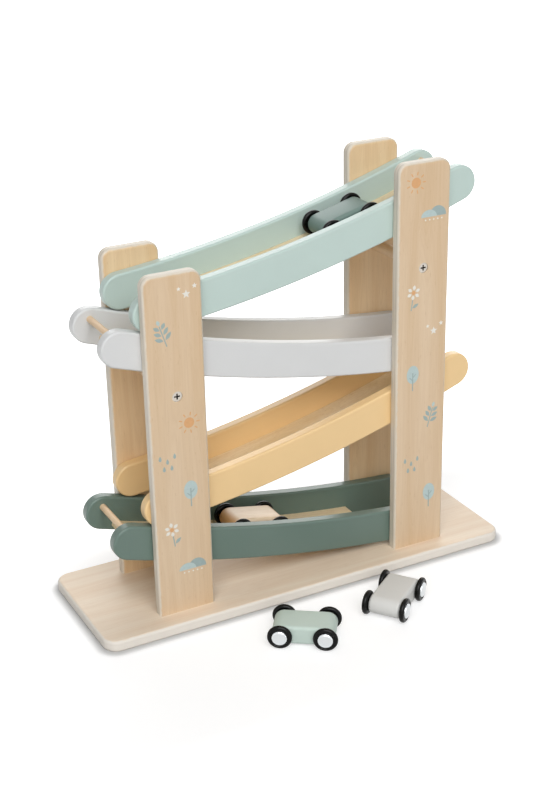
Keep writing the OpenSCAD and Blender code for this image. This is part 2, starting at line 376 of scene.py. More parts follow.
@dataclass(frozen=True)
class BlockWood(Wood):
    """Wooden block with its grain along X, whose end grain drinks the lacquer and so is darker."""

    end: str = "#c79a66"
    end_mm: float = 17.5
    fade_mm: float = 3.0

    def stain(self, tree: Tree, place: Socket, colour: Socket) -> Socket:
        """Darkens the wood where the block rounds down to its ends.

        Args:
            tree: Node tree that takes the nodes.
            place: Coordinates of the surface.
            colour: Colour of the figure.

        Returns:
            The colour with its darker ends.
        """
        along = add_node(tree, "ShaderNodeSeparateXYZ", {0: place}).outputs["X"]
        out = add_node(tree, "ShaderNodeMath", {0: along}, operation="ABSOLUTE")
        ends = add_node(
            tree,
            "ShaderNodeMapRange",
            {
                "Value": out.outputs[0],
                "From Min": (self.end_mm - self.fade_mm) * MM,
                "From Max": (self.end_mm + self.fade_mm) * MM,
            },
            interpolation_type="SMOOTHSTEP",
        )
        return add_node(
            tree,
            "ShaderNodeMix",
            {MIX_SHARE: ends.outputs[0], MIX_FROM: colour, MIX_TO: linear(self.end)},
            data_type="RGBA",
        ).outputs[MIXED]


@dataclass(frozen=True)
class Outline:
    """Rounded rectangle that a board's rim follows, in millimetres.

    The plane has a one for each axis along the board, and a zero for the axis through it.
    """

    centre: tuple[float, float, float]
    half: tuple[float, float, float]
    corner_r: float
    plane: tuple[int, int, int]


@dataclass(frozen=True)
class EdgedPly(Wood):
    """Plywood board with a veneer face.

    Its rim is rounded over and whitewashed, so its plies show faintly.
    """

    outline: Outline = Outline((0, 0, 0), (1, 1, 1), 1, (1, 1, 0))
    rim: str = "#e6e0d7"
    rim_mm: float = 1.0
    fade_mm: float = 1.2
    ragged_mm: float = 3.0
    cover: float = 0.92
    plies: int = 3
    glue_mm: float = 0.4
    glue: str = "#a5a192"
    glue_depth: float = 0.3

    def stain(self, tree: Tree, place: Socket, colour: Socket) -> Socket:
        """Whitewashes the rim, over the seams of glue between the plies.

        Args:
            tree: Node tree that takes the nodes.
            place: Coordinates of the surface.
            colour: Colour of the veneer.

        Returns:
            The colour with its white rim.
        """
        centre = [c * MM for c in self.outline.centre]
        offset = add_node(
            tree, "ShaderNodeVectorMath", {0: place, 1: centre}, operation="SUBTRACT"
        ).outputs[0]
        thin = self.outline.plane.index(0)
        through = add_node(tree, "ShaderNodeSeparateXYZ", {0: offset}).outputs[thin]
        half_ply = self.outline.half[thin] / self.plies * MM
        ply = add_node(tree, "ShaderNodeMath", {0: through, 1: half_ply}, operation="PINGPONG")
        seam = add_node(
            tree,
            "ShaderNodeMapRange",
            {
                "Value": ply.outputs[0],
                "From Min": half_ply - self.glue_mm * MM,
                "From Max": half_ply,
                "To Max": self.glue_depth,
            },
        )
        wash = add_node(
            tree,
            "ShaderNodeMix",
            {MIX_SHARE: seam.outputs[0], MIX_FROM: linear(self.rim), MIX_TO: linear(self.glue)},
            data_type="RGBA",
        )
        painted = self.rim_mask(tree, place, offset)
        return add_node(
            tree,
            "ShaderNodeMix",
            {MIX_SHARE: painted, MIX_FROM: colour, MIX_TO: wash.outputs[MIXED]},
            data_type="RGBA",
        ).outputs[MIXED]

    def rim_mask(self, tree: Tree, place: Socket, offset: Socket) -> Socket:
        """Finds the painted rim: what lies outside a rounded rectangle just within the board.

        Args:
            tree: Node tree that takes the nodes.
            place: Coordinates of the surface.
            offset: The same, from the middle of the board.

        Returns:
            Share of paint.
        """
        sides = zip(self.outline.half, self.outline.plane)
        inner = [(half - self.outline.corner_r * in_plane) * MM for half, in_plane in sides]
        reach = reach_past(tree, offset, inner)
        ragged = add_node(
            tree,
            "ShaderNodeTexNoise",
            {"Vector": place, "Scale": 1 / (self.ragged_mm * MM), "Detail": 2},
        )
        wobble = add_node(
            tree,
            "ShaderNodeMath",
            {0: ragged.outputs[0], 1: self.fade_mm * MM, 2: reach},
            operation="MULTIPLY_ADD",
        )
        paint_from = (self.outline.corner_r - self.rim_mm) * MM
        return add_node(
            tree,
            "ShaderNodeMapRange",
            {
                "Value": wobble.outputs[0],
                "From Min": paint_from,
                "From Max": paint_from + self.fade_mm * MM,
                "To Max": self.cover,
            },
            interpolation_type="SMOOTHSTEP",
        ).outputs[0]


@dataclass(frozen=True)
class Paint(Finish):
    """Satin paint sprayed on sanded wood, which shows an even colour, faint clouds and a sheen."""

    colour: str
    cloud_mm: float = 22.0
    cloud_depth: float = 0.06
    peel_mm: float = 0.9
    relief: float = 0.12
    roughness: float = 0.34
    specular: float = 0.4

    def shader(self, tree: Tree, place: Socket) -> Node:
        """Builds the sprayed surface.

        Args:
            tree: Node tree that takes the nodes.
            place: Coordinates of the surface.

        Returns:
            The shader.
        """
        noises = []
        for across_mm, detail in ((self.cloud_mm, 3), (self.peel_mm, 1)):
            noise = add_node(
                tree,
                "ShaderNodeTexNoise",
                {"Vector": place, "Scale": 1 / (across_mm * MM), "Detail": detail},
            )
            noises.append(noise.outputs[0])
        cloud, peel = noises
        colour = linear(self.colour)
        shade = (*(c * (1 - self.cloud_depth) for c in colour[:3]), 1.0)
        clouded = add_node(
            tree,
            "ShaderNodeMix",
            {MIX_SHARE: cloud, MIX_FROM: colour, MIX_TO: shade},
            data_type="RGBA",
        ).outputs[MIXED]
        return satin_surface(tree, clouded, peel, self.relief, self.roughness, self.specular)


@dataclass(frozen=True)
class Glossy(Finish):
    """Smooth surface whose gloss varies faintly."""

    colour: str
    roughness: float
    # Real brush marks and haze are finer, and drawn coarser here to show.
    haze_mm: float = 0.6
    gloss_span: tuple[float, float] = (0.7, 1.4)

    def shader(self, tree: Tree, place: Socket) -> Node:
        """Builds the smooth surface.

        Args:
            tree: Node tree that takes the nodes.
            place: Coordinates of the surface.

        Returns:
            The shader.
        """
        haze = add_node(
            tree,
            "ShaderNodeTexNoise",
            {"Vector": place, "Scale": 1 / (self.haze_mm * MM), "Detail": 2},
        )
        smooth, rough = (self.roughness * share for share in self.gloss_span)
        gloss = add_node(
            tree,
            "ShaderNodeMapRange",
            {"Value": haze.outputs[0], "To Min": smooth, "To Max": rough},
        )
        colour = self.tint(tree, place)
        return add_node(
            tree,
            "ShaderNodeBsdfPrincipled",
            {"Base Color": colour, "Roughness": gloss.outputs[0], **self.sockets()},
        )

    def tint(self, tree: Tree, place: Socket) -> Colour | Socket:
        """Gives the colour, which is the same all over."""
        return linear(self.colour)

    def sockets(self) -> dict[str, float]:
        """Gives the other values of the shader, which its defaults may serve."""
        return {}


@dataclass(frozen=True)
class Metal(Glossy):
    """Bare or plated metal, which shows bright reflections that are faintly brushed."""

    def sockets(self) -> dict[str, float]:
        """Gives the other values of the shader."""
        return {"Metallic": 1.0}


@dataclass(frozen=True)
class ScrewSteel(Metal):
    """Zinc-plated screws, bright on the flat of the head, with painted shade down in its slots.

    The flats of the heads lie flat_mm from the origin along the screws' axis.
    """

    axis: str = "Y"
    flat_mm: float = 0.0
    # Colour of the painted shade down in the slots.
    slot: str = "#3c3735"
    slot_shade_mm: float = 0.4

    def tint(self, tree: Tree, place: Socket) -> Socket:
        """Gives the metal's colour, with painted shade that deepens below the heads' flats.

        Args:
            tree: Node tree that takes the nodes.
            place: Coordinates of the surface.

        Returns:
            The colour.
        """
        along = add_node(tree, "ShaderNodeSeparateXYZ", {0: place}).outputs[self.axis]
        steps = (("ABSOLUTE", 0.0), ("SUBTRACT", self.flat_mm * MM), ("ABSOLUTE", 0.0))
        for operation, value in steps:
            node = add_node(tree, "ShaderNodeMath", {0: along, 1: value}, operation=operation)
            along = node.outputs[0]
        # Painted shade: below the flats the metal darkens to the slot colour.
        depth = add_node(
            tree, "ShaderNodeMapRange", {"Value": along, "From Max": self.slot_shade_mm * MM}
        )
        return add_node(
            tree,
            "ShaderNodeMix",
            {MIX_SHARE: depth.outputs[0], MIX_FROM: linear(self.colour), MIX_TO: linear(self.slot)},
            data_type="RGBA",
        ).outputs[MIXED]


@dataclass(frozen=True)
class Plastic(Glossy):
    """Glossy moulded plastic, which shows sharp highlights and a faint moulding haze."""

    roughness: float = 0.14
    haze_mm: float = 1.5
    gloss_span: tuple[float, float] = (0.7, 1.5)
    ior: float = 1.5
    specular: float = 0.18

    def sockets(self) -> dict[str, float]:
        """Gives the other values of the shader."""
        return {"IOR": self.ior, "Specular IOR Level": self.specular}


@dataclass(frozen=True)
class WhiteFloor(Finish):
    """Matt white board, which shows the object's shadow, painted darker round the base.

    Its glow is low at the base's edge, which paints a shadow there, and rises over shadow_mm
    from that edge, and over white_mm up to plain white. The second rise comes white_back_mm sooner
    behind the base, and as much later before it, where cars stand.
    """

    shadow_mm: float = 7.0
    shadow_glow: float = 0.53
    white_mm: tuple[float, float] = (60.0, 120.0)
    white_back_mm: float = 45.0
    white_glow: float = 0.6
    white: str = "#cdcdcd"
    bounce: str = "#d8d8d8"

    def shader(self, tree: Tree, place: Socket) -> Node:
        """Builds the board, which glows to the camera and in reflections alone.

        Args:
            tree: Node tree that takes the nodes.
            place: Coordinates of the surface.

        Returns:
            The shader.
        """
        corner = BASE_CORNER_MM * MM
        _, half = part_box("base_board")
        core = (half.x - corner, half.y - corner, half.z)
        shift = (0.0, self.white_back_mm * MM, 0.0)
        shifted = add_node(tree, "ShaderNodeVectorMath", {0: place, 1: shift}, operation="ADD")
        # The low glow near the base's edge paints a shadow along it, over the real shadow.
        glow = 0.0
        for spot, start, end, rise in (
            (place, 0.0, self.shadow_mm, self.shadow_glow),
            (shifted.outputs[0], *self.white_mm, self.white_glow),
        ):
            share = add_node(
                tree,
                "ShaderNodeMapRange",
                {
                    "Value": reach_past(tree, spot, core),
                    "From Min": corner + start * MM,
                    "From Max": corner + end * MM,
                    "To Max": rise,
                },
                interpolation_type="SMOOTHSTEP",
            )
            summed = add_node(
                tree, "ShaderNodeMath", {0: glow, 1: share.outputs[0]}, operation="ADD"
            )
            glow = summed.outputs[0]
        seen = seen_share(tree)
        strength = add_node(tree, "ShaderNodeMath", {0: glow, 1: seen}, operation="MULTIPLY")
        tone = add_node(
            tree,
            "ShaderNodeMix",
            {MIX_SHARE: seen, MIX_FROM: linear(self.bounce), MIX_TO: linear(self.white)},
            data_type="RGBA",
        )
        board = add_node(tree, "ShaderNodeBsdfDiffuse", {"Color": tone.outputs[MIXED]})
        light = add_node(tree, "ShaderNodeEmission", {"Strength": strength.outputs[0]})
        return add_node(tree, "ShaderNodeAddShader", {0: board.outputs[0], 1: light.outputs[0]})


def clear_selection() -> None:
    """Leaves edit mode and deselects everything."""
    if bpy.context.object and bpy.context.object.mode != "OBJECT":
        bpy.ops.object.mode_set(mode="OBJECT")
    bpy.ops.object.select_all(action="DESELECT")


def start_piece(name: str, primitive: Callable[..., set], **settings: object) -> Piece:
    """Adds a primitive as a new piece, selected alone.

    Args:
        name: Name of the piece.
        primitive: Operator that adds the primitive.
        **settings: Sizes and place of the primitive.

    Returns:
        The new object.
    """
    clear_selection()
    primitive(**settings)
    piece = bpy.context.object
    piece.name = name
    piece.data.name = name
    return piece


def pick_alone(piece: Piece) -> None:
    """Selects one piece alone and makes it active.

    Args:
        piece: Piece to select.
    """
    clear_selection()
    piece.select_set(True)
    bpy.context.view_layer.objects.active = piece


def pick_verts(piece: Piece, test: Callable[[Vector], bool]) -> None:
    """Selects vertices of a piece in edit mode.

    Args:
        piece: Piece in edit mode.
        test: Whether a vertex at a place is selected.
    """
    bpy.ops.mesh.select_mode(type="VERT")
    bpy.ops.mesh.select_all(action="DESELECT")
    grid = bmesh.from_edit_mesh(piece.data)
    for vert in grid.verts:
        vert.select_set(test(vert.co))
    grid.select_flush_mode()
    bmesh.update_edit_mesh(piece.data)


def apply_modifier(piece: Piece, kind: str, **settings: object) -> None:
    """Adds a modifier to the piece and applies it.

    Args:
        piece: Piece to change.
        kind: Type of the modifier.
        **settings: Attributes of the modifier.
    """
    pick_alone(piece)
    modifier = piece.modifiers.new(kind.lower(), kind)
    for key, value in settings.items():
        setattr(modifier, key, value)
    bpy.ops.object.modifier_apply(modifier=modifier.name)


def cut_with(piece: Piece, cutter: Piece) -> None:
    """Cuts a piece with another, which is then removed."""
    apply_modifier(piece, "BOOLEAN", operation="DIFFERENCE", object=cutter, solver="EXACT")
    bpy.data.objects.remove(cutter)


def trace(name: str, points_mm: Sequence[Sequence[float]]) -> Piece:
    """Starts a piece as a chain of edges, and leaves it in edit mode with all of it selected.

    Args:
        name: Name of the piece.
        points_mm: Points of the chain, in millimetres.

    Returns:
        The new object.
    """
    piece = start_piece(name, bpy.ops.mesh.primitive_plane_add, size=MM)
    bpy.ops.object.mode_set(mode="EDIT")
    bpy.ops.mesh.merge(type="CENTER")
    here = Vector(points_mm[0]) * MM
    bpy.ops.transform.translate(value=here)
    for point in points_mm[1:]:
        there = Vector(point) * MM
        bpy.ops.mesh.extrude_region_move(TRANSFORM_OT_translate={"value": there - here})
        here = there
    bpy.ops.mesh.select_all(action="SELECT")
    return piece


def turn_on_lathe(
    name: str,
    outline: Sequence[Point],
    steps: int = 64,
    crease_deg: float = 32.0,
    seam_mm: float = 0.002,
) -> Piece:
    """Turns an outline about the Z axis.

    Args:
        name: Name of the piece.
        outline: Radius and height of each point, in millimetres.
        steps: Number of steps of the full turn.
        crease_deg: Angle between faces past which an edge stays sharp.
        seam_mm: Distance within which points at the seam and the poles become one.

    Returns:
        The closed, smooth piece.
    """
    piece = trace(name, [(radius, 0, height) for radius, height in outline])
    bpy.ops.mesh.spin(steps=steps, angle=math.tau, center=(0, 0, 0), axis=(0, 0, 1))
    bpy.ops.mesh.select_all(action="SELECT")
    bpy.ops.mesh.remove_doubles(threshold=seam_mm * MM)
    bpy.ops.mesh.normals_make_consistent(inside=False)
    bpy.ops.object.mode_set(mode="OBJECT")
    bpy.ops.object.shade_smooth_by_angle(angle=math.radians(crease_deg))
    return piece


def on_circle(centre: Point, radius: float, angle: float) -> Point:
    """Gives the point of a circle at an angle in radians."""
    return centre[0] + radius * math.cos(angle), centre[1] + radius * math.sin(angle)


def arc(centre: Point, radius: float, start_deg: float, end_deg: float, count: int) -> list[Point]:
    """Gives points along an arc.

    Args:
        centre: Centre of the arc.
        radius: Radius of the arc.
        start_deg: Angle of the first point.
        end_deg: Angle of the last point.
        count: Number of points.

    Returns:
        The points, both ends included.
    """
    step_deg = (end_deg - start_deg) / (count - 1)
    angles = [math.radians(start_deg + step_deg * i) for i in range(count)]
    return [on_circle(centre, radius, angle) for angle in angles]


def set_in_place(piece: Piece, place: Matrix) -> None:
    """Moves a piece to its place, with the place in its mesh.

    Args:
        piece: Piece to move.
        place: Its place.
    """
    pick_alone(piece)
    piece.matrix_world = place
    bpy.ops.object.transform_apply(location=True, rotation=True, scale=True)


def copied(piece: Piece, place: Matrix) -> Piece:
    """Copies a piece, with its own mesh, to another place.

    Args:
        piece: Piece to copy.
        place: Place of the copy.

    Returns:
        The copy.
    """
    twin = piece.copy()
    twin.data = piece.data.copy()
    bpy.context.collection.objects.link(twin)
    set_in_place(twin, place)
    return twin


def joined(name: str, parts: Iterable[Piece]) -> Piece:
    """Joins parts into one piece.

    Args:
        name: Name of the joined piece.
        parts: Parts to join.

    Returns:
        The joined piece.
    """
    clear_selection()
    for part in parts:
        part.select_set(True)
        bpy.context.view_layer.objects.active = part
    bpy.ops.object.join()
    piece = bpy.context.object
    piece.name = name
    piece.data.name = name
    return piece


def dress(piece: Piece, material: Material) -> None:
    """Gives a piece one material all over."""
    piece.data.materials.clear()
    piece.data.materials.append(material)


def finish_node(node: Piece, material: Material) -> None:
    """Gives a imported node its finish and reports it."""
    dress(node, material)
    LOG.info("%s is finished in %s", node.name, material.name)


@dataclass(frozen=True)
class Softbox:
    """Flat studio lamp that points at the object."""

    name: str
    place_m: tuple[float, float, float]
    size_m: tuple[float, float]
    watts: float

    def hang(self, target: Vector) -> None:
        """Hangs the lamp.

        Args:
            target: Where the lamp points.
        """
        data = bpy.data.lights.new(self.name, "AREA")
        data.shape = "RECTANGLE"
        data.size, data.size_y = self.size_m
        data.energy = self.watts
        lamp = bpy.data.objects.new(self.name, data)
        bpy.context.scene.collection.objects.link(lamp)
        lamp.location = self.place_m
        aim = target - Vector(self.place_m)
        lamp.rotation_euler = aim.to_track_quat("-Z", "Y").to_euler()


@dataclass
class Studio:
    """Camera at the photograph's place, soft lamps, a pale world and a white floor."""

    camera_mm: tuple[float, float, float] = (-425.1, -815.4, 528.0)
    yaw_deg: float = 27.41
    pitch_deg: float = 23.64
    roll_deg: float = -1.22
    lens_mm: float = 66.95
    sensor_mm: float = 36.0
    target_m: tuple[float, float, float] = (0.0, 0.0, 0.12)
    floor_m: float = 12.0
    sky: float = 0.15
    lamps: tuple[Softbox, ...] = (
        Softbox("front_softbox", (-1.4, -3.6, 2.18), (4.4, 2.8), 58.0),
        Softbox("upper_softbox", (-1.1, -3.2, 3.88), (4.4, 3.2), 162.0),
        Softbox("back_softbox", (1.5, 2.9, 1.78), (3.6, 2.2), 66.0),
    )

    def build(self) -> None:
        """Sets the view transform and builds all of the studio."""
        bpy.context.scene.view_settings.view_transform = "Standard"
        self.place_camera()
        self.light_world()
        for lamp in self.lamps:
            lamp.hang(Vector(self.target_m))
        self.lay_floor()

    def place_camera(self) -> None:
        """Makes the camera and turns it to the object."""
        data = bpy.data.cameras.new("camera")
        data.lens = self.lens_mm
        data.sensor_width = self.sensor_mm
        data.sensor_fit = "AUTO"
        camera = bpy.data.objects.new("camera", data)
        bpy.context.scene.collection.objects.link(camera)
        camera.matrix_world = (
            Matrix.Translation(Vector(self.camera_mm) * MM)
            @ Matrix.Rotation(math.radians(-self.yaw_deg), 4, "Z")
            @ Matrix.Rotation(math.radians(90 - self.pitch_deg), 4, "X")
            @ Matrix.Rotation(math.radians(self.roll_deg), 4, "Z")
        )
        bpy.context.scene.camera = camera

    def light_world(self) -> None:
        """Makes a pale world that is white to the camera and in reflections."""
        world = bpy.data.worlds.new("studio")
        world.use_nodes = True
        bpy.context.scene.world = world
        tree = world.node_tree
        tree.nodes.clear()
        strength = add_node(
            tree,
            "ShaderNodeMapRange",
            {"Value": seen_share(tree), "To Min": self.sky, "To Max": 1.0},
        )
        light = add_node(
            tree,
            "ShaderNodeBackground",
            {"Color": (1.0, 1.0, 1.0, 1.0), "Strength": strength.outputs[0]},
        )
        add_node(tree, "ShaderNodeOutputWorld", {"Surface": light.outputs[0]})

    def lay_floor(self) -> None:
        """Lays the floor under the object."""
        floor = start_piece("floor", bpy.ops.mesh.primitive_plane_add, size=self.floor_m)
        dress(floor, WhiteFloor("white_floor").build())


class Named(Enum):
    """Choice whose name is also part of the names of pieces."""

    @property
    def label(self) -> str:
        """The name as pieces spell it."""
        return self.name.lower()


class Ramp(Named):
    """The ramps from the top down, with the colour of their rails."""

    TOP = "#c0d3cd"
    SECOND = "#d9dada"
    THIRD = "#efcd97"
    BOTTOM = "#697d74"


class PostRow(Named):
    """The two rows of posts, with the pale and deep tone of their veneer, partly painted light."""

    FRONT = ("#dec6a8", "#d6ba97")
    # Partly painted light: paler for the shade here, yellower for the bounce off the yellow ramp.
    BACK = ("#eed3ac", "#e4c397")


@dataclass
class Track:
    """Base, posts, ramps and what holds them together, as packed. Sizes are in millimetres."""

    nodes: dict[str, Piece]
    post_corner_r: float = 7.0
    screw_sink: float = 0.6

    def dress_all(self) -> None:
        """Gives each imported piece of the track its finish."""
        self.dress_base()
        self.dress_posts()
        self.dress_ramps()
        self.dress_dowels()
        self.dress_screws()

    def dress_base(self) -> None:
        """Gives the base its pale veneer and white rim."""
        low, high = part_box("base_board")
        middle = (low + high) / 2 / MM
        half = (high - low) / 2 / MM
        finish = EdgedPly(
            "base_ply",
            Grain.ALONG_X,
            pale="#eedfcb",
            deep="#e7d3bc",
            line_depth=0.07,
            streak_depth=0.06,
            pore_depth=0.12,
            specular=0.25,
            outline=Outline(tuple(middle), tuple(half), BASE_CORNER_MM, (1, 1, 0)),
            rim="#e9e3da",
            glue_depth=0.06,
        )
        finish_node(self.nodes["base_board"], finish.build())

    def dress_posts(self) -> None:
        """Gives each post its veneer, with a white rim at its sides and its top."""
        for row, side in itertools.product(PostRow, ("left", "right")):
            name = f"{row.label}_{side}"
            low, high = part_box(f"post_{name}")
            # The outline reaches as far below the foot as above it, so the foot has no rim.
            below = Vector((low.x, low.y, 2 * low.z - high.z))
            middle = (below + high) / 2 / MM
            half = (high - below) / 2 / MM
            pale, deep = row.value
            finish = EdgedPly(
                f"{name}_post_ply",
                Grain.ALONG_Z,
                pale=pale,
                deep=deep,
                line_depth=0.1,
                streak_depth=0.1,
                outline=Outline(tuple(middle), tuple(half), self.post_corner_r, (1, 0, 1)),
                rim="#dfd7c9",
                glue_depth=0.6,
            )
            finish_node(self.nodes[f"post_{name}"], finish.build())

    def dress_ramps(self) -> None:
        """Paints the rails and leaves the decks bare."""
        ply = Wood("deck_ply", Grain.ALONG_X, pale="#f2e0bf", deep="#e6cfa5", roughness=0.55)
        bare = ply.build()
        for ramp in Ramp:
            paint = Paint(f"{ramp.label}_rail_paint", ramp.value).build()
            finish_node(self.nodes[f"{ramp.label}_rail_front"], paint)
            finish_node(self.nodes[f"{ramp.label}_rail_back"], paint)
            finish_node(self.nodes[f"{ramp.label}_deck"], bare)

    def dress_dowels(self) -> None:
        """Leaves the stops, the braces and the pins bare."""
        beech = Wood("turned_beech", Grain.ALONG_Y, pale="#efd4b2", deep="#e5c49b").build()
        stops = [f"{ramp.label}_stop" for ramp in Ramp]
        for name in ("brace_left", "brace_right", "rail_pins", *stops):
            finish_node(self.nodes[name], beech)

    def dress_screws(self) -> None:
        """Plates the screws, whose heads are sunk in the posts and in the underside of the base."""
        _, post_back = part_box("post_back_left")
        heads = (
            ("post_screws", "Y", post_back.y / MM - self.screw_sink),
            ("base_screws", "Z", self.screw_sink),
        )
        for name, axis, flat_mm in heads:
            steel = ScrewSteel(
                f"{name}_zinc_plated_steel", "#b2aca3", 0.36, axis=axis, flat_mm=flat_mm
            )
            finish_node(self.nodes[name], steel.build())


class Ink(Named):
    """Inks of the prints on the posts."""

    GREY_BLUE = "#a3b5b4"
    CHALK = "#f1ede5"
    PALE_BLUE = "#bfd1d0"
    APRICOT = "#e2ad7a"


class Motif(Enum):
    """Motifs of the prints on the posts."""

    SUN = "sun"
    SPRIG = "sprig"
    TREE = "tree"
    STARS = "stars"
    DROPS = "drops"
    HILLS = "hills"
    FLOWER = "flower"


def ellipse(centre: Point, half_w: float, half_h: float, count: int = 28) -> list[Point]:
    """Gives points round an ellipse."""
    turn = [math.tau * i / count for i in range(count)]
    return [(centre[0] + half_w * math.cos(a), centre[1] + half_h * math.sin(a)) for a in turn]


def leaf(base: Point, tip: Point, half_w: float, count: int = 9) -> list[Point]:
    """Gives the outline of a leaf.

    Args:
        base: Where the leaf grows from.
        tip: Its tip.
        half_w: Half of its width.
        count: Number of points on each side.

    Returns:
        The outline.
    """
    along = Vector(tip) - Vector(base)
    across = Vector((-along.y, along.x)).normalized() * half_w
    shares = [i / count for i in range(count + 1)]
    spine = [(Vector(base) + along * t, across * math.sin(math.pi * t)) for t in shares]
    right = [middle - bulge for middle, bulge in spine]
    left = [middle + bulge for middle, bulge in reversed(spine[1:-1])]
    return [tuple(point) for point in right + left]


def star(centre: Point, outer_r: float, inner_r: float, points: int = 5) -> list[Point]:
    """Gives the outline of a star.

    Args:
        centre: Middle of the star.
        outer_r: Distance of its points from the middle.
        inner_r: Distance of its notches from the middle.
        points: Number of points.

    Returns:
        The outline.
    """
    turn = [math.pi * (i / points + 0.5) for i in range(2 * points)]
    radii = [outer_r, inner_r] * points
    return [on_circle(centre, radius, angle) for radius, angle in zip(radii, turn)]


def bar(start: Point, end: Point, width: float) -> list[Point]:
    """Gives the outline of a straight bar.

    Args:
        start: Middle of one end.
        end: Middle of the other end.
        width: Width of the bar.

    Returns:
        The outline.
    """
    near, far = Vector(start), Vector(end)
    along = far - near
    across = Vector((-along.y, along.x)).normalized() * width / 2
    return [tuple(corner) for corner in (near - across, far - across, far + across, near + across)]


def drop(centre: Point, radius: float, tall: float = 1.5, count: int = 20) -> list[Point]:
    """Gives the outline of a drop with its point up.

    Args:
        centre: Middle of the drop.
        radius: Half of its width, about.
        tall: Its height over its width, about.
        count: Number of points.

    Returns:
        The outline.
    """
    turn = [math.tau * i / count for i in range(count)]
    aside = [radius * math.sin(a) * math.sin(a / 2) for a in turn]
    up = [tall * radius * math.cos(a) for a in turn]
    return [(centre[0] - x, centre[1] + y) for x, y in zip(aside, up)]


def hill(centre: Point, half_w: float, height: float, count: int = 16) -> list[Point]:
    """Gives the outline of a hill on a level foot."""
    turn = [math.pi * i / count for i in range(count + 1)]
    return [(centre[0] + half_w * math.cos(a), centre[1] + height * math.sin(a)) for a in turn]


# Motif, place beside the post's middle, height above its foot, both in mm, and turn in degrees.
PRINTED = {
    "front_left": (
        (Motif.STARS, 9, 219, 0),
        (Motif.SPRIG, -8, 196, 18),
        (Motif.SUN, 7, 134, 0),
        (Motif.DROPS, -9, 112, 0),
        (Motif.TREE, 6, 84, 0),
        (Motif.FLOWER, -8, 58, 8),
        (Motif.HILLS, 5, 30, 0),
    ),
    "front_right": (
        (Motif.SUN, -7, 264, 0),
        (Motif.HILLS, 7, 240, 0),
        (Motif.FLOWER, -8, 186, -8),
        (Motif.STARS, 9, 160, 0),
        (Motif.TREE, -7, 128, 0),
        (Motif.SPRIG, 8, 98, -16),
        (Motif.DROPS, -7, 66, 0),
        (Motif.TREE, 8, 36, 0),
    ),
}


